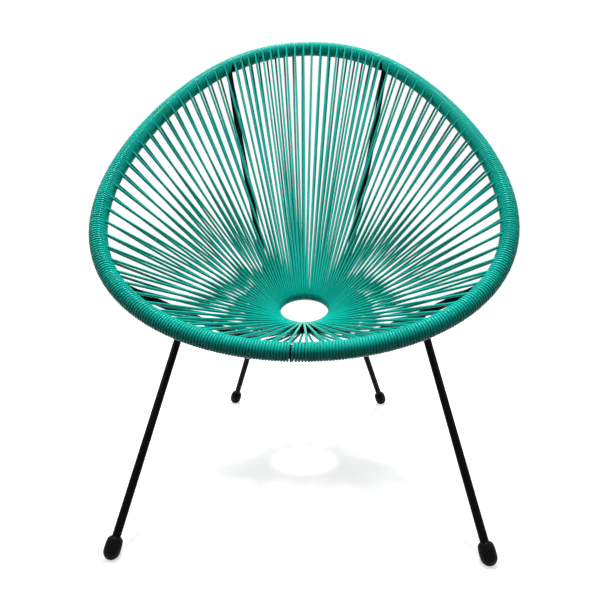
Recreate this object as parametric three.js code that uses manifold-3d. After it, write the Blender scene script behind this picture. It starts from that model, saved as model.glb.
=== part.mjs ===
// Acapulco chair: a bent tube rim, a small centre ring, one cord seat strung between
// them in two layers, and a frame of bent rods and straight legs on rubber feet.
// Millimetres, +Z up, the chair faces -Y. Left and right are as seen from the front.
import * as THREE from 'three';
import { mergeVertices } from 'three/addons/utils/BufferGeometryUtils.js';
import Module from 'manifold-3d';

const wasm = await Module();
wasm.setup();

// General
const FIT = 0.3;
const FULL_TURN = 2 * Math.PI;

// Rim: an egg shaped loop, high at the back and low at the front. Its reach to the side
// is the sine of the way round times a reach that grows from the back to the front.
const RIM_TUBE_D = 20;
const RIM_SIDE_REACH = 319;
const RIM_BACK_REACH = 237;
const RIM_FRONT_REACH = 515;
const RIM_MIDDLE_DEPTH = 38;
const RIM_HALF_DEPTH = 327;
const RIM_MIDDLE_HEIGHT = 622;
const RIM_HALF_RISE = 276;
const RIM_SAG = 53;
const RIM_SIDES = 8;
const RIM_SAMPLES = 720;

// Centre ring: a closed loop of rod that tilts up at the back
const RING_ROD_D = 12;
const RING_MEAN_D = 114;
const RING_DEPTH = 2;
const RING_HEIGHT = 291;
const RING_TILT = THREE.MathUtils.degToRad(22.6);
const RING_SIDES = 8;
const RING_SEGMENTS = 44;

// Cord: strands per side of the chair, each an upper and a lower run. A run is a little
// thinner where it leaves the wraps on the rim.
const CORD_D = 4.6;
const STRANDS_PER_SIDE = 44;
const BACK_STRANDS = 10;
const BACK_PITCH_SHARE = 0.01742;
const SIDE_PITCH_SHARE = 0.02654;
const SECTION_STRANDS = [10, 7, 8, 7, 6, 6];
const SECTION_GAP_AT_RING = 1.3;
const PACKED_LENGTH = 20;
const RUN_ROOT_SHARE = 0.85;
const TURN_STEPS = 3;

// Side rails: one bent rod on each side, from the back of the rim to its front.
// Each route entry is a share of the way round the ring, of the way in from the rim
// and, below the lower cords, of the rod and the cord laid side by side.
const ROD_D = 12;
const ROD_SIDES = 8;
const RAIL_STEPS = 44;
const RAIL_BACK_JOINT_SHARE = 0.1742;
const RAIL_FRONT_JOINT_SHARE = 0.7281;
const RAIL_JOINT_ROOM = 5;
const RAIL_ROUTE_SHARES = [
  [0.232, 0.35, 0.60],
  [0.261, 0.76, 1.57],
  [0.327, 0.95, 0.96],
  [0.611, 0.99, 0.96],
  [0.818, 0.76, 0.68],
  [0.814, 0.61, 0.68],
  [0.734, 0.42, 0.90],
];

// Legs: straight rods, each welded to its rail at a share of the rail's length. The tips
// of the saddle at a leg's top stop a little below the rail's middle line.
const LEG_D = 12;
const LEG_TIP_DEPTH = 2;
const LEG_SIDES = 12;
const FRONT_LEG_JOINT_SHARE = 0.858;
const FRONT_FOOT_REACH = 277;
const FRONT_FOOT_DEPTH = -377;
const REAR_LEG_JOINT_SHARE = 0.515;
const REAR_FOOT_REACH = 183;
const REAR_FOOT_DEPTH = 261;

// Foot caps: rubber barrels with a round bottom that stands on a small flat, sides that
// draw in a little, a rounded top edge and a shallow recess round the leg
const CAP_D = 24.6;
const CAP_LENGTH = 33;
const CAP_STANDING_HEIGHT = 11.2;
const CAP_TOP_D = 22.8;
const CAP_TOP_ROUND = 3;
const CAP_LIP = 1.6;
const CAP_RECESS = 1.5;
const CAP_FLOOR = 6;
const CAP_SEGMENTS = 16;
const CAP_DOME_STEPS = 5;

// The corner radius of a polygon with the area of a circle, as a share of its radius
function sameAreaShare(sides) {
  return Math.sqrt(FULL_TURN / (sides * Math.sin(FULL_TURN / sides)));
}

const RIM_TUBE_R = RIM_TUBE_D / 2;
const RING_ROD_R = RING_ROD_D / 2;
const RING_MEAN_R = RING_MEAN_D / 2;
const ROD_R = ROD_D / 2;
const LEG_R = LEG_D / 2;
const CAP_R = CAP_D / 2;
const RIM_REACH_GROWTH = (RIM_FRONT_REACH - RIM_BACK_REACH) / 2;
const RIM_REACH_BULGE = (RIM_FRONT_REACH + RIM_BACK_REACH) / 2 - RIM_SIDE_REACH;
const CORD_R = CORD_D / 2;
const CORD_SIDE = CORD_R * Math.sqrt(Math.PI);
const WRAP_CORNER_R = (RIM_TUBE_R + FIT + CORD_D) * sameAreaShare(RIM_SIDES);
const WRAP_MIDDLE_R = RIM_TUBE_R + FIT + CORD_R;
const TURN_MIDDLE_R = RING_ROD_R + FIT + CORD_R;

const cordMaterial = new THREE.MeshStandardMaterial({ color: 0x0aa690, roughness: 0.38, metalness: 0 });
const frameMaterial = new THREE.MeshStandardMaterial({ color: 0x101011, roughness: 0.42, metalness: 0.35 });
const rubberMaterial = new THREE.MeshStandardMaterial({ color: 0x0d0d0e, roughness: 0.62, metalness: 0 });

const group = new THREE.Group();
group.name = 'acapulco_chair';

// Solids and meshes
function solidOf(geometry) {
  const bare = geometry.clone();
  bare.deleteAttribute('normal');
  bare.deleteAttribute('uv');
  const merged = mergeVertices(bare);
  const corners = merged.index.array;
  const kept = [];
  for (let i = 0; i < corners.length; i += 3) {
    const [a, b, c] = [corners[i], corners[i + 1], corners[i + 2]];
    if (a !== b && b !== c && c !== a) kept.push(a, b, c);
  }
  return new wasm.Manifold(new wasm.Mesh({
    numProp: 3,
    vertProperties: new Float32Array(merged.attributes.position.array),
    triVerts: new Uint32Array(kept),
  }));
}

function geometryOf(solid) {
  const mesh = solid.getMesh();
  const geometry = new THREE.BufferGeometry();
  geometry.setAttribute('position', new THREE.BufferAttribute(mesh.vertProperties, 3));
  geometry.setIndex(new THREE.BufferAttribute(mesh.triVerts, 1));
  return geometry;
}

function mirrored(geometry) {
  const copy = geometry.clone();
  copy.scale(-1, 1, 1);
  const corners = copy.index.array;
  for (let i = 0; i < corners.length; i += 3) {
    const second = corners[i + 1];
    corners[i + 1] = corners[i + 2];
    corners[i + 2] = second;
  }
  return copy;
}

function addMesh(name, geometry, material) {
  const shown = geometry.toNonIndexed();
  shown.computeVertexNormals();
  const mesh = new THREE.Mesh(shown, material);
  mesh.name = name;
  group.add(mesh);
}

function addPair(name, solid, material, ending = '') {
  const geometry = geometryOf(solid);
  addMesh(`${name}_right${ending}`, geometry, material);
  addMesh(`${name}_left${ending}`, mirrored(geometry), material);
}

// A skin over closed outlines with equal numbers of points, in order along the sweep
function skin(outlines, capFaces) {
  const count = outlines[0].length;
  const corners = [];
  const links = capFaces ? outlines.length - 1 : outlines.length;
  for (let j = 0; j < links; j += 1) {
    const here = j * count;
    const next = ((j + 1) % outlines.length) * count;
    for (let k = 0; k < count; k += 1) {
      const l = (k + 1) % count;
      corners.push(here + k, here + l, next + l);
      corners.push(here + k, next + l, next + k);
    }
  }
  if (capFaces) {
    const last = (outlines.length - 1) * count;
    for (const [a, b, c] of capFaces) {
      corners.push(a, c, b);
      corners.push(last + a, last + b, last + c);
    }
  }
  const geometry = new THREE.BufferGeometry().setFromPoints(outlines.flat());
  geometry.setIndex(corners);
  return geometry;
}

function roundShape(radius, sides) {
  const points = [];
  for (let k = 0; k < sides; k += 1) {
    const turn = (FULL_TURN * k) / sides;
    points.push(new THREE.Vector2(radius * Math.cos(turn), radius * Math.sin(turn)));
  }
  return new THREE.Shape(points);
}

// The rim's middle line
function rimPoint(angle) {
  const u = Math.cos(angle);
  const reach = RIM_SIDE_REACH - RIM_REACH_GROWTH * u + RIM_REACH_BULGE * u * u;
  return new THREE.Vector3(
    Math.sin(angle) * reach,
    RIM_MIDDLE_DEPTH + RIM_HALF_DEPTH * u,
    RIM_MIDDLE_HEIGHT + RIM_HALF_RISE * u - RIM_SAG * u * u,
  );
}

function rimTangent(angle) {
  const u = Math.cos(angle);
  const v = Math.sin(angle);
  const reach = RIM_SIDE_REACH - RIM_REACH_GROWTH * u + RIM_REACH_BULGE * u * u;
  const reachRate = v * (RIM_REACH_GROWTH - 2 * RIM_REACH_BULGE * u);
  return new THREE.Vector3(
    u * reach + v * reachRate,
    -RIM_HALF_DEPTH * v,
    -v * (RIM_HALF_RISE - 2 * RIM_SAG * u),
  ).normalize();
}

const rimLengths = [0];
for (let i = 1; i <= RIM_SAMPLES; i += 1) {
  const before = rimPoint((Math.PI * (i - 1)) / RIM_SAMPLES);
  const here = rimPoint((Math.PI * i) / RIM_SAMPLES);
  rimLengths.push(rimLengths[i - 1] + here.distanceTo(before));
}
const RIM_HALF_LENGTH = rimLengths[RIM_SAMPLES];

// The angle on the rim at a share of the way from its top centre to its front centre
function rimAngle(share) {
  const length = THREE.MathUtils.clamp(share, 0, 1) * RIM_HALF_LENGTH;
  let i = 1;
  while (i < RIM_SAMPLES && rimLengths[i] < length) i += 1;
  const part = (length - rimLengths[i - 1]) / (rimLengths[i] - rimLengths[i - 1]);
  return (Math.PI * (i - 1 + part)) / RIM_SAMPLES;
}

// The centre ring's plane
const ringCentre = new THREE.Vector3(0, RING_DEPTH, RING_HEIGHT);
const ringBack = new THREE.Vector3(0, Math.cos(RING_TILT), Math.sin(RING_TILT));
const ringSide = new THREE.Vector3(1, 0, 0);
const ringNormal = new THREE.Vector3(0, -Math.sin(RING_TILT), Math.cos(RING_TILT));

function ringPoint(angle, radius, height) {
  return ringCentre.clone()
    .addScaledVector(ringSide, radius * Math.sin(angle))
    .addScaledVector(ringBack, radius * Math.cos(angle))
    .addScaledVector(ringNormal, height);
}

// An outline round the rim, with one corner square to the cord that runs to the ring
function rimOutline({ angle, ringAngle }, radius) {
  const middle = rimPoint(angle);
  const along = rimTangent(angle);
  const inward = ringPoint(ringAngle, RING_MEAN_R, 0).sub(middle).projectOnPlane(along).normalize();
  const across = new THREE.Vector3().crossVectors(along, inward);
  const points = [];
  for (let k = 0; k < RIM_SIDES; k += 1) {
    const turn = (FULL_TURN * k) / RIM_SIDES;
    points.push(middle.clone()
      .addScaledVector(inward, radius * Math.sin(turn))
      .addScaledVector(across, -radius * Math.cos(turn)));
  }
  return points;
}

// Places of the strands: close and even at the back, then wider and slowly closing
const lastBackShare = (BACK_STRANDS - 0.5) * BACK_PITCH_SHARE;
const sideStrands = STRANDS_PER_SIDE - BACK_STRANDS;
const sideSteps = sideStrands + 0.5;
const pitchLoss = (SIDE_PITCH_SHARE * sideSteps - (1 - lastBackShare)) / (sideSteps * sideSteps);

function strandShare(index) {
  if (index <= BACK_STRANDS - 1) return (index + 0.5) * BACK_PITCH_SHARE;
  const step = index - (BACK_STRANDS - 1);
  return lastBackShare + step * SIDE_PITCH_SHARE - step * step * pitchLoss;
}

// The cord at a place on the rim: the way up from the seat at both ends, the lean of the
// hairpin turn on the ring, and the middle line of the lower run
function cordRuns(index, ringAngle) {
  const angle = rimAngle(strandShare(index));
  const onRim = rimPoint(angle);
  const onRing = ringPoint(ringAngle, RING_MEAN_R, 0);
  const along = onRing.clone().sub(onRim).normalize();
  const upAtRim = new THREE.Vector3().crossVectors(rimTangent(angle), along).normalize();
  upAtRim.multiplyScalar(Math.sign(upAtRim.z));
  const upAtRing = ringNormal.clone().addScaledVector(along, -ringNormal.dot(along)).normalize();
  const lower = {
    start: onRim.clone().addScaledVector(upAtRim, -WRAP_MIDDLE_R),
    end: onRing.clone().addScaledVector(upAtRing, -TURN_MIDDLE_R),
  };
  const outward = onRing.clone().sub(ringCentre).normalize();
  const lean = Math.atan2(-upAtRing.dot(outward), upAtRing.dot(ringNormal));
  return { lower, upAtRim, upAtRing, lean };
}

const ringStep = Math.PI / STRANDS_PER_SIDE;

// A point below the lower run, at a share of the way in from the rim
function pointUnderSeat([placeShare, inwardShare, dropShare]) {
  const place = placeShare * STRANDS_PER_SIDE;
  const { lower, upAtRim, upAtRing } = cordRuns(place - 0.5, place * ringStep);
  const up = upAtRim.clone().lerp(upAtRing, inwardShare).normalize();
  return lower.start.clone().lerp(lower.end, inwardShare)
    .addScaledVector(up, -dropShare * (ROD_D + CORD_D));
}

// The section of a hairpin turn of cord round the ring, with its two packed ends. The
// last edge is the upper end and the middle edge the lower end.
function hairpin(lean) {
  const innerR = (RING_ROD_R + FIT) / Math.cos(Math.PI / (2 * TURN_STEPS));
  const outerR = RING_ROD_R + FIT + CORD_D;
  const out = new THREE.Vector2(Math.cos(lean), Math.sin(lean)).multiplyScalar(PACKED_LENGTH);
  const arc = (radius) => {
    const points = [];
    for (let k = 0; k <= TURN_STEPS; k += 1) {
      const turn = lean + Math.PI / 2 + (Math.PI * k) / TURN_STEPS;
      points.push(new THREE.Vector2(radius * Math.cos(turn), radius * Math.sin(turn)));
    }
    return [points[0].clone().add(out), ...points, points[TURN_STEPS].clone().add(out)];
  };
  return [...arc(outerR), ...arc(innerR).reverse()];
}

function middleOf(points) {
  const sum = new THREE.Vector3();
  for (const point of points) sum.add(point);
  return sum.divideScalar(points.length);
}

// One section of the seat as a single skin: the wraps on the rim as a sleeve, the turns
// on the centre ring packed side by side, and the runs of cord between them, each of
// four faces with a round cord's area
function seatSection(section, stations, ringFrom, ringTo) {
  const triangles = [];
  const addQuad = (a, b, c, d) => triangles.push(a, b, c, a, c, d);
  const addFrame = (corners, hole) => corners.forEach((corner, k) => {
    const l = (k + 1) % corners.length;
    addQuad(corner, corners[l], hole[l], hole[k]);
  });
  const facet = (outlines, j, k) => {
    const l = (k + 1) % outlines[j].length;
    return [outlines[j][k], outlines[j][l], outlines[j + 1][l], outlines[j + 1][k]];
  };

  // A run of cord that grows out of one facet and into another
  const addRun = (wrapFacet, turnFacet, upAtRim, upAtRing) => {
    const start = middleOf(wrapFacet);
    const end = middleOf(turnFacet);
    const along = end.clone().sub(start).normalize();
    const squareTo = (up) => new THREE.Vector3().crossVectors(up, along).normalize();
    const sidesOf = (corners, middle, up) => {
      const across = squareTo(up);
      return corners.map((corner) => {
        const offset = corner.clone().sub(middle);
        return [Math.sign(offset.dot(across)), Math.sign(offset.dot(up))];
      });
    };
    const normal = wrapFacet[2].clone().sub(wrapFacet[0]).cross(wrapFacet[3].clone().sub(wrapFacet[1]));
    const wrapSides = sidesOf(wrapFacet, start, upAtRim);
    const wrapHole = wrapSides.map(([side, face]) => {
      const corner = start.clone()
        .addScaledVector(squareTo(upAtRim), (side * CORD_SIDE) / 2)
        .addScaledVector(upAtRim, (face * RUN_ROOT_SHARE * CORD_SIDE) / 2);
      const back = start.clone().sub(corner).dot(normal) / along.dot(normal);
      return corner.addScaledVector(along, back);
    });
    const turnSides = sidesOf(turnFacet, end, upAtRing);
    const turnHole = turnFacet.map((corner) => end.clone().lerp(corner, CORD_SIDE / CORD_D));
    const opposite = wrapSides.map(([side, face]) => (
      turnHole[turnSides.findIndex(([s, f]) => s === side && f === face)]
    ));
    addFrame(wrapFacet, wrapHole);
    addFrame(turnFacet, turnHole);
    wrapHole.forEach((corner, k) => {
      const l = (k + 1) % wrapHole.length;
      addQuad(corner, wrapHole[l], opposite[l], opposite[k]);
    });
  };

  // The rims of the sleeve and of the turns, one outline on each side of every strand
  const boreR = RIM_TUBE_R + FIT / Math.cos(Math.PI / RIM_SIDES);
  const outside = stations.map((station) => rimOutline(station, WRAP_CORNER_R));
  const bore = stations.map((station) => rimOutline(station, boreR));
  const runs = [];
  for (let j = 0; j < section.strands; j += 1) {
    const ringAngle = THREE.MathUtils.lerp(ringFrom, ringTo, (j + 0.5) / section.strands);
    runs.push(cordRuns(section.first + j, ringAngle));
  }
  const leanFrom = runs[0].lean;
  const leanTo = runs[section.strands - 1].lean;
  const turns = stations.map((_, j) => {
    const part = j / section.strands;
    const angle = THREE.MathUtils.lerp(ringFrom, ringTo, part);
    const profile = hairpin(THREE.MathUtils.lerp(leanFrom, leanTo, part));
    return profile.map((p) => ringPoint(angle, RING_MEAN_R + p.x, p.y));
  });

  const upperWrap = 0;
  const lowerWrap = RIM_SIDES / 2 - 1;
  const lowerTurn = TURN_STEPS + 2;
  const upperTurn = 2 * lowerTurn + 1;
  for (let j = 0; j < section.strands; j += 1) {
    const { upAtRim, upAtRing } = runs[j];
    for (let k = 0; k < RIM_SIDES; k += 1) {
      if (k !== upperWrap && k !== lowerWrap) addQuad(...facet(outside, j, k));
      addQuad(...facet(bore, j, k).reverse());
    }
    for (let k = 0; k <= upperTurn; k += 1) {
      if (k !== upperTurn && k !== lowerTurn) addQuad(...facet(turns, j, k));
    }
    addRun(facet(outside, j, upperWrap), facet(turns, j, upperTurn), upAtRim, upAtRing);
    addRun(facet(outside, j, lowerWrap), facet(turns, j, lowerTurn), upAtRim, upAtRing);
  }
  const last = section.strands;
  for (let k = 0; k < RIM_SIDES; k += 1) {
    addQuad(...facet([bore[0], outside[0]], 0, k));
    addQuad(...facet([outside[last], bore[last]], 0, k));
  }
  for (const [a, b, c] of THREE.ShapeUtils.triangulateShape(hairpin(leanFrom), [])) {
    triangles.push(turns[0][a], turns[0][c], turns[0][b]);
    triangles.push(turns[last][a], turns[last][b], turns[last][c]);
  }
  return solidOf(new THREE.BufferGeometry().setFromPoints(triangles));
}

// Side rails
const railRoute = new THREE.CatmullRomCurve3([
  rimPoint(rimAngle(RAIL_BACK_JOINT_SHARE)),
  ...RAIL_ROUTE_SHARES.map(pointUnderSeat),
  rimPoint(rimAngle(RAIL_FRONT_JOINT_SHARE)),
], false, 'catmullrom', 0.5);

function railSolid(clearance) {
  return solidOf(new THREE.ExtrudeGeometry(roundShape(ROD_R + clearance, ROD_SIDES), {
    steps: RAIL_STEPS,
    extrudePath: railRoute,
    bevelEnabled: false,
  }));
}

// Sections of the cord seat, split where the rails meet the rim
const jointRoomShare = RAIL_JOINT_ROOM / RIM_HALF_LENGTH;
const halfFitShare = FIT / 2 / RIM_HALF_LENGTH;
const sections = [];
let firstStrand = 0;
for (const strands of SECTION_STRANDS) {
  const next = firstStrand + strands;
  sections.push({
    first: firstStrand,
    strands,
    from: firstStrand === 0 ? 0 : (strandShare(firstStrand - 1) + strandShare(firstStrand)) / 2,
    to: next === STRANDS_PER_SIDE ? 1 : (strandShare(next - 1) + strandShare(next)) / 2,
  });
  firstStrand = next;
}
for (const joint of [RAIL_BACK_JOINT_SHARE, RAIL_FRONT_JOINT_SHARE]) {
  const before = sections.find((s) => s.first + s.strands < STRANDS_PER_SIDE
    && strandShare(s.first + s.strands - 1) < joint && joint < strandShare(s.first + s.strands));
  const after = sections[sections.indexOf(before) + 1];
  before.to = joint - jointRoomShare;
  after.from = joint + jointRoomShare;
}

// The places on the rim and on the ring on both sides of every strand of a section
function sectionStations(section, insetShare) {
  const shares = [section.from + insetShare];
  for (let i = 1; i < section.strands; i += 1) shares.push(strandShare(section.first + i - 0.5));
  shares.push(section.to - insetShare);
  return shares.map((share, i) => (
    { angle: rimAngle(share), ringAngle: (section.first + i) * ringStep }
  ));
}

// Rim tube, with an outline wherever the wraps on it have one
const rightStations = sections.flatMap((section) => sectionStations(section, 0))
  .filter((station, i, all) => i === 0 || station.angle !== all[i - 1].angle);
const leftStations = rightStations.slice(1, -1).reverse()
  .map(({ angle, ringAngle }) => ({ angle: FULL_TURN - angle, ringAngle: -ringAngle }));

function rimTube(clearance) {
  const radius = RIM_TUBE_R + clearance / Math.cos(Math.PI / RIM_SIDES);
  return solidOf(skin([...rightStations, ...leftStations].map((station) => rimOutline(station, radius))));
}

addMesh('rim_tube', geometryOf(rimTube(0)), frameMaterial);

// Centre ring
const ringOutlines = [];
for (let j = 0; j < RING_SEGMENTS; j += 1) {
  const angle = (FULL_TURN * j) / RING_SEGMENTS;
  const outline = [];
  for (let k = 0; k < RING_SIDES; k += 1) {
    const turn = (FULL_TURN * k) / RING_SIDES;
    outline.push(ringPoint(angle, RING_MEAN_R + RING_ROD_R * Math.cos(turn), RING_ROD_R * Math.sin(turn)));
  }
  ringOutlines.push(outline);
}
addMesh('centre_ring', skin(ringOutlines), frameMaterial);

// Cord seat
const railClearance = railSolid(FIT);
sections.forEach((section, place) => {
  const gapAngle = SECTION_GAP_AT_RING / RING_MEAN_R;
  const ringFrom = section.first * ringStep + gapAngle / 2;
  const ringTo = (section.first + section.strands) * ringStep - gapAngle / 2;
  const stations = sectionStations(section, halfFitShare);
  const solid = seatSection(section, stations, ringFrom, ringTo).subtract(railClearance);
  addPair('seat_cord', solid, cordMaterial, `_${place + 1}`);
});

// Rails with saddle ends on the rim
addPair('side_rail', railSolid(0).subtract(rimTube(FIT)), frameMaterial);

// Legs with saddle tops on the rails, and the caps on their feet
function addLeg(name, jointShare, footReach, footDepth) {
  const top = railRoute.getPointAt(jointShare);
  const foot = new THREE.Vector3(footReach, footDepth, 0);
  const up = top.clone().sub(foot).normalize();
  const domeRise = CAP_STANDING_HEIGHT / up.z;
  const capBottom = domeRise - CAP_R;
  const turn = new THREE.Quaternion().setFromUnitVectors(new THREE.Vector3(0, 1, 0), up);
  const place = new THREE.Matrix4().makeRotationFromQuaternion(turn).setPosition(foot);

  const legStart = capBottom + CAP_FLOOR + FIT;
  const legLength = top.distanceTo(foot) - LEG_TIP_DEPTH - legStart;
  const leg = new THREE.CylinderGeometry(LEG_R, LEG_R, legLength, LEG_SIDES);
  leg.translate(0, legStart + legLength / 2, 0);
  leg.applyMatrix4(place);
  addPair(name, solidOf(leg).subtract(railClearance), frameMaterial);

  const profile = [];
  for (let k = 0; k <= CAP_DOME_STEPS; k += 1) {
    const swing = (Math.PI / 2) * (k / CAP_DOME_STEPS);
    profile.push(new THREE.Vector2(CAP_R * Math.sin(swing), domeRise - CAP_R * Math.cos(swing)));
  }
  const capTop = capBottom + CAP_LENGTH;
  const topR = CAP_TOP_D / 2;
  const boreR = LEG_R + FIT / Math.cos(Math.PI / CAP_SEGMENTS);
  profile.push(new THREE.Vector2(topR, capTop - CAP_TOP_ROUND));
  profile.push(new THREE.Vector2(topR - CAP_TOP_ROUND / 3, capTop - CAP_TOP_ROUND / 3));
  profile.push(new THREE.Vector2(topR - CAP_TOP_ROUND, capTop));
  profile.push(new THREE.Vector2(boreR + CAP_LIP, capTop));
  profile.push(new THREE.Vector2(boreR, capTop - CAP_RECESS));
  profile.push(new THREE.Vector2(boreR, legStart - FIT));
  profile.push(new THREE.Vector2(0, legStart - FIT));
  const cap = new THREE.LatheGeometry(profile, CAP_SEGMENTS);
  cap.applyMatrix4(place);
  const floorCut = new THREE.BoxGeometry(2 * CAP_D, 2 * CAP_D, CAP_D);
  floorCut.translate(footReach, footDepth, -CAP_R);
  const legName = name.replace('_leg', '');
  addPair(`foot_cap_${legName}`, solidOf(cap).subtract(solidOf(floorCut)), rubberMaterial);
}

addLeg('front_leg', FRONT_LEG_JOINT_SHARE, FRONT_FOOT_REACH, FRONT_FOOT_DEPTH);
addLeg('rear_leg', REAR_LEG_JOINT_SHARE, REAR_FOOT_REACH, REAR_FOOT_DEPTH);

// The origin is on the floor, under the middle of the chair's outline
const outline = new THREE.Box3().setFromObject(group);
const middle = outline.getCenter(new THREE.Vector3());
for (const mesh of group.children) mesh.geometry.translate(-middle.x, -middle.y, -outline.min.z);

export default group;
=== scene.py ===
"""Acapulco chair: one cord wound round a bent rim and strung to a small centre ring,
on bent side rails and four straight legs with rubber feet.

Metres, +Z up, the chair faces -Y, left and right are as seen from the front.
"""
import math
import random

import bpy
from mathutils import Matrix, Vector


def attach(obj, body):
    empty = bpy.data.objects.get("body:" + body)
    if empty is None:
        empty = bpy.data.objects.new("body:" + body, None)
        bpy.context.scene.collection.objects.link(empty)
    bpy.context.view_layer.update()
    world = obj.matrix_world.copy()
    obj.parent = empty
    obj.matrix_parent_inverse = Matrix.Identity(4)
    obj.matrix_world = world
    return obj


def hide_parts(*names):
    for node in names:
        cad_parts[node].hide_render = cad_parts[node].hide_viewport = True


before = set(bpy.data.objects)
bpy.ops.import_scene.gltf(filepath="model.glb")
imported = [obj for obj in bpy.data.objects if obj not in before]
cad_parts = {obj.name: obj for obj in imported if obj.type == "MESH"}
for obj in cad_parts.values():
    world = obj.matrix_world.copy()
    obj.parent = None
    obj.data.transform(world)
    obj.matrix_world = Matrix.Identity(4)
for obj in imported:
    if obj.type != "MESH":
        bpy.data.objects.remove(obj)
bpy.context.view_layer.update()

MM = 0.001
FULL_TURN = 2 * math.pi
random.seed(7)

# Sizes of the frame and the seat, in millimetres, as in the CAD part. The CAD part is
# moved so that the middle of its outline is over the origin: CENTRE_SHIFT is that move.
CENTRE_SHIFT = Vector((0, 0.168, 0))
ROD_R = 6.0
CORD_R = 2.3
FIT = 0.3

# The rim's reach to the side, its depth and its height, as factors of 1, u and u * u,
# where u is the cosine of the angle from the top centre
RIM_REACH = (319.0, -139.0, 57.0)
RIM_DEPTH = (38.0, 327.0)
RIM_HEIGHT = (622.0, 276.0, -53.0)

RING_ROD_R = 6.0
RING_R = 57.0
RING_CENTRE = Vector((0, 2, 291))
RING_TILT = math.radians(22.6)

# The strands of one side, the first of them close together at the back, and how many each
# section has. The pitches are shares of the rim's half length, and SIDE_PITCH is the first
# one at the side, from where the pitch shrinks towards the front.
STRANDS = 44
BACK_STRANDS = 10
BACK_PITCH = 0.01742
SIDE_PITCH = 0.02654
SECTION_STRANDS = (10, 7, 8, 7, 6, 6)

# Where the rails are welded to the rim, as shares of its half length
JOINT_SHARES = (0.1742, 0.7281)

# The side rails' route: share of the way round the ring, share of the way in from the
# rim, and drop below the lower cords, as a share of a rod and a cord laid side by side
RAIL_ROUTE = (
    (0.232, 0.35, 0.60),
    (0.261, 0.76, 1.57),
    (0.327, 0.95, 0.96),
    (0.611, 0.99, 0.96),
    (0.818, 0.76, 0.68),
    (0.814, 0.61, 0.68),
    (0.734, 0.42, 0.90),
)

# The legs: share of the rail's length at which a leg is welded on, and place of its foot
FRONT_LEG = (0.858, Vector((277, -377, 0)))
REAR_LEG = (0.515, Vector((183, 261, 0)))
LEGS = (("front", *FRONT_LEG), ("rear", *REAR_LEG))

# The photograph shows the rim, the rails and the legs a little thicker than the CAD part
# has them, and the cord drawn tighter round the ring
DRAWN_TUBE_R = 10.8
DRAWN_ROD_R = 6.5
HAIRPIN_TIGHTENING = 1.2

# How finely the lines are drawn. The way of a rail at its end is read over the first
# RAIL_END_SAMPLES of its points.
RIM_SAMPLES = 1440
TANGENT_STEP = 1e-4
TURN_STEPS = 22
HAIRPIN_STEPS = 9
RAIL_SAMPLES = 26
RAIL_END_SAMPLES = 12
RIM_SEGMENTS = 360
RING_SEGMENTS = 96
BEAD_STEPS = 72

# The cord isn't laid quite evenly: how far it lifts off the rim, and how far a run
# strays to the side and sags
WRAP_WAVE = 0.12
WRAP_WAVE_RATE = 0.37
WRAP_LIFT = 0.03
UPPER_STRAY = 1.0
UPPER_SAG = (0.0, 1.0)
LOWER_STRAY = 1.9
LOWER_SAG = (0.5, 3.0)

# The points of a run of cord, as shares of its length
UPPER_RUN = (0.0, 0.02, 0.25, 0.5, 0.75, 0.9, 0.97)
LOWER_RUN = (0.03, 0.1, 0.25, 0.5, 0.75, 0.98)

# The cords crowd at the ring: the largest radius of a cord there, as a share of the
# room that a strand has
RUN_SHARE = 0.46
HAIRPIN_SHARE = 0.54

# How far a hairpin moves on round the ring, as a share of the room that a strand has
HAIRPIN_ADVANCE = 0.5

# The turns part round a rail's end, on the rail's side of the rim only. The seam is the
# place left of the front centre where the winding starts anew.
PART_REACH = 10.5
PART_LENGTH = 32.0
PART_FOCUS = 1.3
SEAM_PLACE = -9.5
SEAM_GAP = 0.6
SEAM_SKIP = math.radians(40)

# Weld beads: their thickness, how far out they lie from the rod's middle, as a share of
# its radius, and their ripples, each as a share of the thickness, a count and a start
LEG_BEAD_R = 1.5
RIM_BEAD_R = 2.1
BEAD_OUT = 1.04
BEAD_RIPPLES = ((0.16, 12, 0), (0.10, 5, 1))

# Rubber feet. The centre of the round bottom is lower than its radius, which leaves a
# small flat on the floor.
FOOT_R = 12.4
FOOT_LENGTH = 33.0
FOOT_BORE_R = 6.8
FOOT_STANDING_HEIGHT = 11.2
FOOT_SHOULDER_H = 6.5
FOOT_BOTTOM_STEPS = 8
FOOT_SHOULDER_STEPS = 5
FOOT_SMOOTH_BELOW = math.radians(38)

# Two points of a leg's line, by their distance along it from the floor: the rod's lower
# end, inside the foot, and one above the foot
LEG_END = 8
LEG_ABOVE_FOOT = 120

WRAP_R = DRAWN_TUBE_R + FIT + CORD_R
HAIRPIN_R = RING_ROD_R + FIT + CORD_R + HAIRPIN_TIGHTENING
RING_BACK = Vector((0, math.cos(RING_TILT), math.sin(RING_TILT)))
RING_SIDE = Vector((1, 0, 0))
RING_UP = Vector((0, -math.sin(RING_TILT), math.cos(RING_TILT)))


# The rim's middle line, by angle and by length
def rim_point(t):
    u = math.cos(t)
    reach = RIM_REACH[0] + RIM_REACH[1] * u + RIM_REACH[2] * u * u
    return Vector((
        math.sin(t) * reach,
        RIM_DEPTH[0] + RIM_DEPTH[1] * u,
        RIM_HEIGHT[0] + RIM_HEIGHT[1] * u + RIM_HEIGHT[2] * u * u,
    ))


rim_lengths = [0.0]
for i in range(1, RIM_SAMPLES + 1):
    here = rim_point(math.pi * i / RIM_SAMPLES)
    before = rim_point(math.pi * (i - 1) / RIM_SAMPLES)
    rim_lengths.append(rim_lengths[-1] + (here - before).length)
HALF = rim_lengths[-1]
LOOP = 2 * HALF


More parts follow.
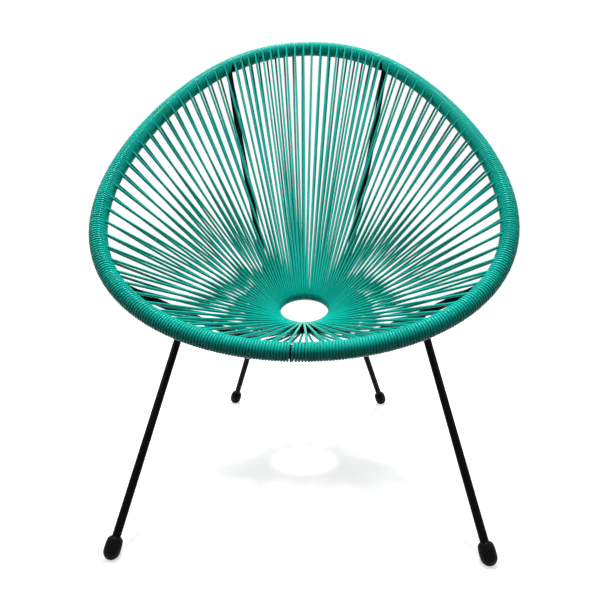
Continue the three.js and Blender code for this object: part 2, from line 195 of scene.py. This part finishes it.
def rim_angle(s):
    """The angle at a length s along the rim, from its top centre to the right."""
    if s > HALF:
        return FULL_TURN - rim_angle(LOOP - s)
    s = max(0.0, s)
    low, high = 0, RIM_SAMPLES
    while high - low > 1:
        middle = (low + high) // 2
        if rim_lengths[middle] <= s:
            low = middle
        else:
            high = middle
    part = (s - rim_lengths[low]) / (rim_lengths[high] - rim_lengths[low])
    return math.pi * (low + part) / RIM_SAMPLES


def rim_tangent(t):
    return (rim_point(t + TANGENT_STEP) - rim_point(t - TANGENT_STEP)).normalized()


def ring_point(a):
    return RING_CENTRE + RING_R * (math.sin(a) * RING_SIDE + math.cos(a) * RING_BACK)


# Places of the strands round the whole loop, from the top centre to the right
last_back = (BACK_STRANDS - 0.5) * BACK_PITCH
side_steps = STRANDS - BACK_STRANDS + 0.5
pitch_loss = (SIDE_PITCH * side_steps - (1 - last_back)) / side_steps ** 2


def strand_share(index):
    if index <= BACK_STRANDS - 1:
        return (index + 0.5) * BACK_PITCH
    step = index - (BACK_STRANDS - 1)
    return last_back + step * SIDE_PITCH - step * step * pitch_loss


RING_STEP = math.pi / STRANDS
places = [strand_share(i) * HALF for i in range(STRANDS)]
places += [LOOP - s for s in reversed(places)]
joints = [share * HALF for share in JOINT_SHARES]
joints += [LOOP - s for s in reversed(joints)]


def ring_angle(s):
    """The way round the ring that the cord at a place on the rim goes to."""
    stops = [(0.0, 0.0)]
    stops += [(p, (j + 0.5) * RING_STEP) for j, p in enumerate(places)]
    stops += [(LOOP, FULL_TURN)]
    for (s0, a0), (s1, a1) in zip(stops, stops[1:]):
        if s <= s1:
            return a0 + (a1 - a0) * (s - s0) / (s1 - s0)
    return FULL_TURN


def rim_frame(s):
    """The rim's middle, and the ways up and out from the cord that runs to the ring."""
    t = rim_angle(s)
    middle = rim_point(t)
    tangent = rim_tangent(t)
    along = (ring_point(ring_angle(s)) - middle).normalized()
    up = tangent.cross(along).normalized()
    if up.z < 0:
        up = -up
    out = -(along - tangent * along.dot(tangent)).normalized()
    return middle, up, out


def place_under_seat(place_share, inward, drop):
    """A point of the rail's route below the lower cords."""
    place = place_share * STRANDS
    t = rim_angle(strand_share(place - 0.5) * HALF)
    on_rim = rim_point(t)
    on_ring = ring_point(place * RING_STEP)
    along = (on_ring - on_rim).normalized()
    up_rim = rim_tangent(t).cross(along).normalized()
    if up_rim.z < 0:
        up_rim = -up_rim
    up_ring = (RING_UP - along * RING_UP.dot(along)).normalized()
    start = on_rim - WRAP_R * up_rim
    end = on_ring - HAIRPIN_R * up_ring
    up = up_rim.lerp(up_ring, inward).normalized()
    return start.lerp(end, inward) - up * drop * 2 * (ROD_R + CORD_R)


route = [rim_point(rim_angle(JOINT_SHARES[0] * HALF))]
route += [place_under_seat(*entry) for entry in RAIL_ROUTE]
route += [rim_point(rim_angle(JOINT_SHARES[1] * HALF))]


def smooth_line(stops):
    """A Catmull-Rom curve through the stops."""
    points = [2 * stops[0] - stops[1]] + stops + [2 * stops[-1] - stops[-2]]
    line = []
    for k in range(1, len(points) - 2):
        p0, p1, p2, p3 = points[k - 1:k + 3]
        t1, t2 = 0.5 * (p2 - p0), 0.5 * (p3 - p1)
        for i in range(RAIL_SAMPLES + (1 if k == len(points) - 3 else 0)):
            t = i / RAIL_SAMPLES
            line.append((2 * t ** 3 - 3 * t ** 2 + 1) * p1 + (t ** 3 - 2 * t ** 2 + t) * t1
                        + (-2 * t ** 3 + 3 * t ** 2) * p2 + (t ** 3 - t ** 2) * t2)
    return line


rail_line = smooth_line(route)


def side_of_rim(s, way):
    """The turn angle on which a direction leaves the rim."""
    _, up, out = rim_frame(s)
    return math.atan2(way.dot(out), way.dot(up))


# Both ends of a rail: place on the rim, and the way in which the rail leaves it
rail_ends = (
    (joints[0], rail_line[RAIL_END_SAMPLES] - rail_line[0]),
    (joints[1], rail_line[-1 - RAIL_END_SAMPLES] - rail_line[-1]),
)
rail_sides = []
for place, way in rail_ends:
    mirror_way = Vector((-way.x, way.y, way.z))
    rail_sides.append((place, side_of_rim(place, way)))
    rail_sides.append((LOOP - place, side_of_rim(LOOP - place, mirror_way)))


def on_wrap(s, phi, radius=WRAP_R):
    """A point of the cord round the rim, at a place and a turn angle."""
    for joint, side in rail_sides:
        near = s - joint
        if abs(near) < 3 * PART_LENGTH:
            facing = max(0.0, math.cos(phi - side)) ** PART_FOCUS
            push = PART_REACH * math.exp(-abs(near) / PART_LENGTH)
            s += math.copysign(push, near) * facing
            break
    middle, up, out = rim_frame(s)
    return middle + radius * (math.cos(phi) * up + math.sin(phi) * out)


def helix(s0, phi0, s1, phi1, with_end=True):
    """Points of the cord round the rim, between two places and two turn angles."""
    steps = max(2, round(abs(phi1 - phi0) / FULL_TURN * TURN_STEPS))
    points = []
    for k in range(steps + (1 if with_end else 0)):
        part = k / steps
        s = s0 + (s1 - s0) * part
        phi = phi0 + (phi1 - phi0) * part
        lift = WRAP_WAVE * math.sin(WRAP_WAVE_RATE * s) + random.uniform(-WRAP_LIFT, WRAP_LIFT)
        points.append((on_wrap(s, phi, WRAP_R + lift), CORD_R))
    return points


def turns_in(length):
    return max(1, round(length / (2 * CORD_R)))


def wound(j):
    """The cord round the rim from strand j to the next one, as stretches (s0, phi0, s1,
    phi1). At a rail's end it passes on the far side, and at the seam it skips a gap."""
    s0, s1 = places[j], places[j + 1]
    stops = [(s, s, (side + math.pi) % FULL_TURN) for s, side in rail_sides if s0 < s < s1]
    if s0 < HALF + SEAM_PLACE < s1:
        stops.append((HALF + SEAM_PLACE - SEAM_GAP, HALF + SEAM_PLACE + SEAM_GAP, math.pi))
    if not stops:
        n = turns_in(s1 - s0)
        pitch = (s1 - s0) / n
        return [(s0 + pitch / 4, math.pi, s1 - pitch / 4, math.pi - (n - 0.5) * FULL_TURN)]
    before, after, phi = stops[0]
    start, end = s0 + CORD_R / 2, s1 - CORD_R / 2

    def turning(length, least):
        """How far the cord turns over a length: whole turns more than the least."""
        whole_turns = round(length / (2 * CORD_R) - least / FULL_TURN)
        return least + FULL_TURN * max(0, whole_turns)

    middle = math.pi - turning(before - start, math.pi - phi)
    rest = turning(end - after, phi)
    stretches = [(start, math.pi, before, middle)]
    if after > before:
        stretches.append((before, middle, after, middle - SEAM_SKIP))
        middle -= SEAM_SKIP
        rest -= SEAM_SKIP
    return stretches + [(after, middle, end, middle - rest)]


def strand_pitches(j):
    """The pitch of the turns before and after strand j."""
    def pitch(k):
        if 0 <= k < 2 * STRANDS - 1:
            return 4 * (wound(k)[0][0] - places[k])
        return 2 * CORD_R
    return pitch(j - 1), pitch(j)


def run_and_hairpin(j):
    """Strand j: down the upper run, round the ring's inner side and back below."""
    before, after = strand_pitches(j)
    s = places[j]
    top = on_wrap(s - before / 4, 0)
    bottom = on_wrap(s + after / 4, math.pi)
    middle_angle = (j + 0.5) * RING_STEP
    onto = ring_point(middle_angle)
    along = (onto - rim_point(rim_angle(s))).normalized()
    up = (RING_UP - along * RING_UP.dot(along)).normalized()
    turn = []
    for k in range(HAIRPIN_STEPS + 1):
        theta = math.pi * k / HAIRPIN_STEPS
        a = middle_angle + (k / HAIRPIN_STEPS - 0.5) * RING_STEP * HAIRPIN_ADVANCE
        turn.append(ring_point(a) + HAIRPIN_R * (math.cos(theta) * up + math.sin(theta) * along))

    def radius_at(point, share=RUN_SHARE):
        flat = point - RING_CENTRE
        flat = flat - RING_UP * flat.dot(RING_UP)
        return min(CORD_R, share * flat.length * RING_STEP)

    def run(start, end, parts, sag, stray):
        sideways = along.cross(up) * random.uniform(-stray, stray)
        points = []
        for part in parts:
            bow = 4 * part * (1 - part)
            point = start.lerp(end, part) + bow * (sideways - Vector((0, 0, sag)))
            points.append((point, radius_at(point)))
        return points

    down = run(top, turn[0], UPPER_RUN, random.uniform(*UPPER_SAG), UPPER_STRAY)
    back = run(turn[-1], bottom, LOWER_RUN, random.uniform(*LOWER_SAG), LOWER_STRAY)
    return down + [(p, radius_at(p, HAIRPIN_SHARE)) for p in turn] + back


# Building
def clear():
    """Leave edit mode and deselect everything."""
    if bpy.context.object and bpy.context.object.mode != "OBJECT":
        bpy.ops.object.mode_set(mode="OBJECT")
    bpy.ops.object.select_all(action="DESELECT")


def only(obj):
    """Select one object alone, and make it the active one."""
    clear()
    obj.select_set(True)
    bpy.context.view_layer.objects.active = obj


def tubes(name, lines, resolution, closed=False):
    """Round cords or rods along lines of (point, radius), as one mesh."""
    curve = bpy.data.curves.new(name, "CURVE")
    curve.dimensions = "3D"
    curve.bevel_depth = 1.0
    curve.bevel_resolution = resolution
    curve.use_fill_caps = not closed
    for line in lines:
        spline = curve.splines.new("POLY")
        spline.points.add(len(line) - 1)
        spots = [(p + CENTRE_SHIFT) * MM for p, _ in line]
        spline.points.foreach_set("co", [c for p in spots for c in (p.x, p.y, p.z, 1.0)])
        spline.points.foreach_set("radius", [r * MM for _, r in line])
        spline.use_cyclic_u = closed
        spline.use_smooth = True
    obj = bpy.data.objects.new(name, curve)
    bpy.context.scene.collection.objects.link(obj)
    only(obj)
    bpy.ops.object.convert(target="MESH")
    return bpy.context.object


def finished(obj, material, slot, *nodes):
    """Give a piece its material and body, and hide the CAD nodes that it replaces. The slot is not
    used.
    """
    obj.data.materials.clear()
    obj.data.materials.append(material)
    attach(obj, "root")
    if nodes:
        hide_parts(*nodes)


# Materials
def new_material(name, roughness, specular):
    material = bpy.data.materials.new(name)
    material.use_nodes = True
    nodes = material.node_tree.nodes
    links = material.node_tree.links
    shader = nodes["Principled BSDF"]
    shader.inputs["Metallic"].default_value = 0.0
    shader.inputs["Roughness"].default_value = roughness
    shader.inputs["Specular IOR Level"].default_value = specular
    return material, nodes, links, shader


def noise(nodes, links, scale, detail=3.0):
    where = nodes.new("ShaderNodeTexCoord")
    texture = nodes.new("ShaderNodeTexNoise")
    texture.inputs["Scale"].default_value = scale
    texture.inputs["Detail"].default_value = detail
    links.new(where.outputs["Object"], texture.inputs["Vector"])
    return texture.outputs["Fac"]


def ramp(nodes, links, source, stops):
    """Colours along a source, each stop with its place and its colour."""
    node = nodes.new("ShaderNodeValToRGB")
    node.color_ramp.elements[0].position = stops[0][0]
    node.color_ramp.elements[0].color = (*stops[0][1], 1)
    node.color_ramp.elements[1].position = stops[-1][0]
    node.color_ramp.elements[1].color = (*stops[-1][1], 1)
    for place, colour in stops[1:-1]:
        node.color_ramp.elements.new(place).color = (*colour, 1)
    links.new(source, node.inputs["Fac"])
    return node.outputs["Color"]


def spread(nodes, links, source, low, high):
    """A source from 0 to 1, mapped to a range from low to high."""
    node = nodes.new("ShaderNodeMapRange")
    node.inputs["To Min"].default_value = low
    node.inputs["To Max"].default_value = high
    links.new(source, node.inputs["Value"])
    return node.outputs["Result"]


def bump(nodes, links, source, shader, distance, strength):
    node = nodes.new("ShaderNodeBump")
    node.inputs["Distance"].default_value = distance
    node.inputs["Strength"].default_value = strength
    links.new(source, node.inputs["Height"])
    links.new(node.outputs["Normal"], shader.inputs["Normal"])


def cord_material():
    """Smooth teal green vinyl with a slight change of tint along the cord."""
    material, nodes, links, shader = new_material("cord_vinyl", 0.2, 0.10)
    tint = noise(nodes, links, 14.0, 4.0)
    links.new(ramp(nodes, links, tint, (
        (0.30, (0.0010, 0.420, 0.340)),
        (0.50, (0.0012, 0.470, 0.385)),
        (0.72, (0.0020, 0.515, 0.425)),
    )), shader.inputs["Base Color"])
    gloss = noise(nodes, links, 90.0)
    links.new(spread(nodes, links, gloss, 0.15, 0.25), shader.inputs["Roughness"])
    bump(nodes, links, noise(nodes, links, 700.0, 2.0), shader, 0.00012, 0.35)
    return material


def frame_material():
    """Black powder coat, satin, with a fine grain."""
    material, nodes, links, shader = new_material("frame_powder_coat", 0.36, 0.04)
    tint = noise(nodes, links, 30.0, 4.0)
    links.new(ramp(nodes, links, tint, (
        (0.35, (0.0014, 0.0014, 0.0016)),
        (0.65, (0.0030, 0.0030, 0.0034)),
    )), shader.inputs["Base Color"])
    gloss = noise(nodes, links, 220.0)
    links.new(spread(nodes, links, gloss, 0.30, 0.44), shader.inputs["Roughness"])
    bump(nodes, links, noise(nodes, links, 1400.0, 2.0), shader, 0.0001, 0.5)
    return material


def rubber_material():
    """Matte black rubber."""
    material, nodes, links, shader = new_material("foot_rubber_black", 0.5, 0.05)
    tint = noise(nodes, links, 60.0, 4.0)
    links.new(ramp(nodes, links, tint, (
        (0.35, (0.0016, 0.0016, 0.0018)),
        (0.68, (0.0040, 0.0040, 0.0044)),
    )), shader.inputs["Base Color"])
    gloss = noise(nodes, links, 260.0)
    links.new(spread(nodes, links, gloss, 0.36, 0.50), shader.inputs["Roughness"])
    bump(nodes, links, noise(nodes, links, 1800.0, 2.0), shader, 0.0001, 0.5)
    return material


cord_look = cord_material()
frame_look = frame_material()
rubber_look = rubber_material()


def mirrored(line):
    return [(Vector((-p.x, p.y, p.z)), r) for p, r in line]


# The cord, one continuous winding cut into the part's sections. It is worked out from the
# top to the right and laid mirrored, as the real one is wound from the top to the left.
section_names = [f"left_{k + 1}" for k in range(len(SECTION_STRANDS))]
section_names += [f"right_{k + 1}" for k in reversed(range(len(SECTION_STRANDS)))]
section_counts = list(SECTION_STRANDS) + list(reversed(SECTION_STRANDS))
first = 0
for name, count in zip(section_names, section_counts):
    path = []
    if first == 0:
        pitch = 2 * CORD_R
        start = places[0] - pitch / 4
        path += helix(0.0, start / pitch * FULL_TURN, start, 0.0, with_end=False)
    for j in range(first, first + count):
        path += run_and_hairpin(j)
        if j == 2 * STRANDS - 1:
            start = places[j] + CORD_R / 2
            last_turns = (LOOP - start) / (2 * CORD_R)
            path += helix(start, math.pi, LOOP, math.pi - last_turns * FULL_TURN)
        else:
            for stretch in wound(j):
                path += helix(*stretch, with_end=False)
    first += count
    if first < 2 * STRANDS:
        path.append(run_and_hairpin(first)[0])
    cord = tubes(f"wound_cord_{name}", [mirrored(path)], 2)
    finished(cord, cord_look, "cord", f"seat_cord_{name}")


# The frame under the cord
rim_line = [(rim_point(FULL_TURN * k / RIM_SEGMENTS), DRAWN_TUBE_R) for k in range(RIM_SEGMENTS)]
rim = tubes("bent_rim_tube", [rim_line], 8, closed=True)
finished(rim, frame_look, "frame", "rim_tube")

ring_line = [(ring_point(FULL_TURN * k / RING_SEGMENTS), RING_ROD_R) for k in range(RING_SEGMENTS)]
ring = tubes("bent_centre_ring", [ring_line], 8, closed=True)
finished(ring, frame_look, "frame", "centre_ring")

rail_lengths = [0.0]
for a, b in zip(rail_line, rail_line[1:]):
    rail_lengths.append(rail_lengths[-1] + (b - a).length)


def at_rail(share):
    """The place and the way of a rail at a share of its length."""
    goal = share * rail_lengths[-1]
    i = next(k for k in range(1, len(rail_line)) if rail_lengths[k] >= goal)
    before, after = rail_line[i - 1], rail_line[i]
    part = (goal - rail_lengths[i - 1]) / (rail_lengths[i] - rail_lengths[i - 1])
    return before.lerp(after, part), (after - before).normalized()


def saddle_bead(joint, rod_way, tube_way, tube_r, size):
    """A weld bead along the line where a rod meets a tube, as one closed line."""
    a = rod_way.cross(tube_way).normalized()
    b = rod_way.cross(a).normalized()
    line = []
    for k in range(BEAD_STEPS):
        beta = FULL_TURN * k / BEAD_STEPS
        offset = DRAWN_ROD_R * (math.cos(beta) * a + math.sin(beta) * b)
        w = offset - tube_way * offset.dot(tube_way)
        d = rod_way - tube_way * rod_way.dot(tube_way)
        qa, qb, qc = d.dot(d), -2 * w.dot(d), w.dot(w) - tube_r ** 2
        h = (-qb + math.sqrt(max(0.0, qb * qb - 4 * qa * qc))) / (2 * qa)
        ripple = 1.0
        for share, count, start in BEAD_RIPPLES:
            ripple += share * math.sin(count * beta + start)
        line.append((joint + offset * BEAD_OUT - rod_way * h, size * ripple))
    return line


for side in ("right", "left"):
    laid = (lambda line: line) if side == "right" else mirrored
    rail = tubes(f"bent_rail_{side}", [laid([(p, DRAWN_ROD_R) for p in rail_line])], 6)
    finished(rail, frame_look, "frame", f"side_rail_{side}")
    beads = []
    for label, joint_share, foot in LEGS:
        top, rail_way = at_rail(joint_share)
        up = (top - foot).normalized()
        stops = (foot + up * LEG_END, foot + up * LEG_ABOVE_FOOT, top)
        leg = tubes(f"round_leg_{label}_{side}", [laid([(p, DRAWN_ROD_R) for p in stops])], 6)
        finished(leg, frame_look, "frame", f"{label}_leg_{side}")
        beads.append(laid(saddle_bead(top, up, rail_way, DRAWN_ROD_R, LEG_BEAD_R)))
    for place, way in rail_ends:
        t = rim_angle(place)
        rod_way = -way.normalized()
        bead = saddle_bead(rim_point(t), rod_way, rim_tangent(t), DRAWN_TUBE_R, RIM_BEAD_R)
        beads.append(laid(bead))
    weld = tubes(f"leg_welds_{side}", beads, 2, closed=True)
    finished(weld, frame_look, "frame")


# Rubber feet: a ring of edges drawn out step by step, then set on the leg's line
def drawn_out(name, profile, segments=40):
    """A closed round solid from its profile of (radius, height), by extruding a disc."""
    clear()
    radius, height = profile[0]
    bpy.ops.mesh.primitive_circle_add(vertices=segments, radius=radius * MM, fill_type="NGON",
                                      location=(0, 0, height * MM))
    obj = bpy.context.object
    obj.name = name
    bpy.ops.object.transform_apply(location=True, rotation=True, scale=True)
    bpy.ops.object.mode_set(mode="EDIT")
    bpy.ops.mesh.select_all(action="SELECT")
    for (r0, z0), (r1, z1) in zip(profile, profile[1:]):
        rise = (0, 0, (z1 - z0) * MM)
        bpy.ops.mesh.extrude_region_move(TRANSFORM_OT_translate={"value": rise})
        k = r1 / r0
        bpy.ops.transform.resize(value=(k, k, 1), center_override=(0, 0, z1 * MM))
    bpy.ops.mesh.select_all(action="SELECT")
    bpy.ops.mesh.normals_make_consistent(inside=False)
    bpy.ops.object.mode_set(mode="OBJECT")
    return obj


def foot_profile(rise):
    """A barrel with a round bottom, round shoulders and a raised lip round the leg, as
    (radius, height). The centre of the round bottom is at a height of rise."""
    profile = []
    for k in range(1, FOOT_BOTTOM_STEPS + 1):
        swing = math.pi / 2 * k / FOOT_BOTTOM_STEPS
        profile.append((FOOT_R * math.sin(swing), rise - FOOT_R * math.cos(swing)))
    top = rise - FOOT_R + FOOT_LENGTH
    shoulder = top - FOOT_SHOULDER_H
    profile += [(FOOT_R + 0.2, rise + 4), (FOOT_R, rise + 10), (FOOT_R - 0.5, shoulder)]
    for k in range(1, FOOT_SHOULDER_STEPS + 1):
        swing = math.pi / 2 * k / FOOT_SHOULDER_STEPS
        profile.append((
            FOOT_R - 0.7 - 3.4 * (1 - math.cos(swing)),
            shoulder + 5.3 * math.sin(swing),
        ))
    profile += [
        (FOOT_BORE_R + 1.9, top - 1.0),
        (FOOT_BORE_R + 1.7, top - 0.2),
        (FOOT_BORE_R + 0.9, top),
        (FOOT_BORE_R + 0.2, top - 0.3),
        (FOOT_BORE_R, top - 1.2),
        (FOOT_BORE_R, top - 8),
    ]
    return profile


for side, sign in (("right", 1), ("left", -1)):
    for label, joint_share, foot in LEGS:
        up = (at_rail(joint_share)[0] - foot).normalized()
        profile = foot_profile(FOOT_STANDING_HEIGHT / up.z)
        cap = drawn_out(f"rubber_foot_{label}_{side}", profile)
        up = Vector((sign * up.x, up.y, up.z))
        spot = (Vector((sign * foot.x, foot.y, foot.z)) + CENTRE_SHIFT) * MM
        lean = Vector((0, 0, 1)).rotation_difference(up).to_matrix().to_4x4()
        only(cap)
        cap.matrix_world = Matrix.Translation(spot) @ lean
        bpy.ops.object.transform_apply(location=True, rotation=True, scale=True)
        bpy.ops.object.mode_set(mode="EDIT")
        bpy.ops.mesh.select_all(action="SELECT")
        bpy.ops.mesh.bisect(plane_co=(0, 0, 0), plane_no=(0, 0, 1), use_fill=True, clear_inner=True)
        bpy.ops.object.mode_set(mode="OBJECT")
        only(cap)
        bpy.ops.object.shade_smooth_by_angle(angle=FOOT_SMOOTH_BELOW)
        finished(cap, rubber_look, "foot_rubber", f"foot_cap_{label}_{side}")


# Floor, light and camera. What is seen directly is pale, and what only lights the chair
# is dim. The floor fades into the white backdrop between two distances from the middle.
FLOOR_SEEN = (0.80, 0.80, 0.80, 1)
FLOOR_UNSEEN = (0.08, 0.08, 0.08, 1)
FLOOR_GLOW = 0.60
FLOOR_SIZE = 40
FADE_FROM, FADE_TO = 0.5, 1.5
WHITE = (1, 1, 1, 1)
BACKDROP_STRENGTH = 1.0
AMBIENT_STRENGTH = 0.01
LIGHT_TARGET = Vector((0, 0, 0.45))


def seen_directly(nodes, links):
    """1 for the rays that show the backdrop: camera, glossy and transmission rays."""
    path = nodes.new("ShaderNodeLightPath")
    total = path.outputs["Is Camera Ray"]
    for name in ("Is Glossy Ray", "Is Transmission Ray"):
        larger = nodes.new("ShaderNodeMath")
        larger.operation = "MAXIMUM"
        links.new(total, larger.inputs[0])
        links.new(path.outputs[name], larger.inputs[1])
        total = larger.outputs["Value"]
    return total


def floor_material():
    """Pale floor that keeps the chair's shadow and runs into the white backdrop."""
    material, nodes, links, shader = new_material("pale_floor", 0.9, 0.0)
    direct = seen_directly(nodes, links)
    tone = nodes.new("ShaderNodeMix")
    tone.data_type = "RGBA"
    tone.inputs["A"].default_value = FLOOR_UNSEEN
    tone.inputs["B"].default_value = FLOOR_SEEN
    links.new(direct, tone.inputs["Factor"])
    links.new(tone.outputs["Result"], shader.inputs["Base Color"])
    glow = nodes.new("ShaderNodeEmission")
    links.new(spread(nodes, links, direct, 0.0, FLOOR_GLOW), glow.inputs["Strength"])
    lit = nodes.new("ShaderNodeAddShader")
    links.new(shader.outputs["BSDF"], lit.inputs[0])
    links.new(glow.outputs["Emission"], lit.inputs[1])
    where = nodes.new("ShaderNodeTexCoord")
    far = nodes.new("ShaderNodeVectorMath")
    far.operation = "LENGTH"
    links.new(where.outputs["Object"], far.inputs[0])
    fade = nodes.new("ShaderNodeMapRange")
    fade.inputs["From Min"].default_value = FADE_FROM
    fade.inputs["From Max"].default_value = FADE_TO
    links.new(far.outputs["Value"], fade.inputs["Value"])
    seen = nodes.new("ShaderNodeMath")
    seen.operation = "MULTIPLY"
    links.new(fade.outputs["Result"], seen.inputs[0])
    links.new(direct, seen.inputs[1])
    white = nodes.new("ShaderNodeEmission")
    mix = nodes.new("ShaderNodeMixShader")
    links.new(seen.outputs["Value"], mix.inputs["Fac"])
    links.new(lit.outputs["Shader"], mix.inputs[1])
    links.new(white.outputs["Emission"], mix.inputs[2])
    links.new(mix.outputs["Shader"], nodes["Material Output"].inputs["Surface"])
    return material


clear()
bpy.ops.mesh.primitive_plane_add(size=FLOOR_SIZE, location=(0, 0, 0))
floor = bpy.context.object
floor.name = "floor"
floor.data.materials.append(floor_material())


def add_lamp(name, place, size, power):
    """A round soft lamp that is aimed at the middle of the seat."""
    light = bpy.data.lights.new(name, "AREA")
    light.shape = "DISK"
    light.size = size
    light.energy = power
    obj = bpy.data.objects.new(name, light)
    bpy.context.scene.collection.objects.link(obj)
    way = (LIGHT_TARGET - Vector(place)).normalized()
    aim = way.to_track_quat("-Z", "Y").to_matrix().to_4x4()
    obj.matrix_world = Matrix.Translation(Vector(place)) @ aim


add_lamp("top", (0.0, 1.1, 6.0), size=1.1, power=430)
add_lamp("left", (-1.8, -0.3, 2.0), size=0.5, power=20)
add_lamp("right", (1.8, -0.3, 2.0), size=0.5, power=16)
add_lamp("front", (-0.4, -1.5, 2.6), size=0.2, power=5)

world = bpy.data.worlds.new("studio")
bpy.context.scene.world = world
world.use_nodes = True
wnodes, wlinks = world.node_tree.nodes, world.node_tree.links
ambient = wnodes["Background"]
ambient.inputs["Color"].default_value = WHITE
ambient.inputs["Strength"].default_value = AMBIENT_STRENGTH
backdrop = wnodes.new("ShaderNodeBackground")
backdrop.inputs["Color"].default_value = WHITE
backdrop.inputs["Strength"].default_value = BACKDROP_STRENGTH
wmix = wnodes.new("ShaderNodeMixShader")
wlinks.new(seen_directly(wnodes, wlinks), wmix.inputs["Fac"])
wlinks.new(ambient.outputs["Background"], wmix.inputs[1])
wlinks.new(backdrop.outputs["Background"], wmix.inputs[2])
wlinks.new(wmix.outputs["Shader"], wnodes["World Output"].inputs["Surface"])

# The camera of the photograph: place in millimetres, and how it looks down, aside and tilts
CAMERA_PLACE = Vector((33.8, -1148, 549))
PITCH, YAW, ROLL = math.radians(11.63), math.radians(-2.10), math.radians(0.39)
forward = Vector((
    math.sin(YAW) * math.cos(PITCH),
    math.cos(YAW) * math.cos(PITCH),
    -math.sin(PITCH),
))
level = Vector((math.cos(YAW), -math.sin(YAW), 0))
down = forward.cross(level)
right = level * math.cos(ROLL) + down * math.sin(ROLL)
low = down * math.cos(ROLL) - level * math.sin(ROLL)
camera_data = bpy.data.cameras.new("camera")
camera_data.lens = 36
camera_data.sensor_width = 36
camera_data.sensor_fit = "HORIZONTAL"
camera_data.clip_end = 60
camera = bpy.data.objects.new("camera", camera_data)
bpy.context.scene.collection.objects.link(camera)
aim = Matrix((right, -low, -forward)).transposed().to_4x4()
camera.matrix_world = Matrix.Translation((CAMERA_PLACE + CENTRE_SHIFT) * MM) @ aim
bpy.context.scene.camera = camera
bpy.context.scene.view_settings.view_transform = "Standard"
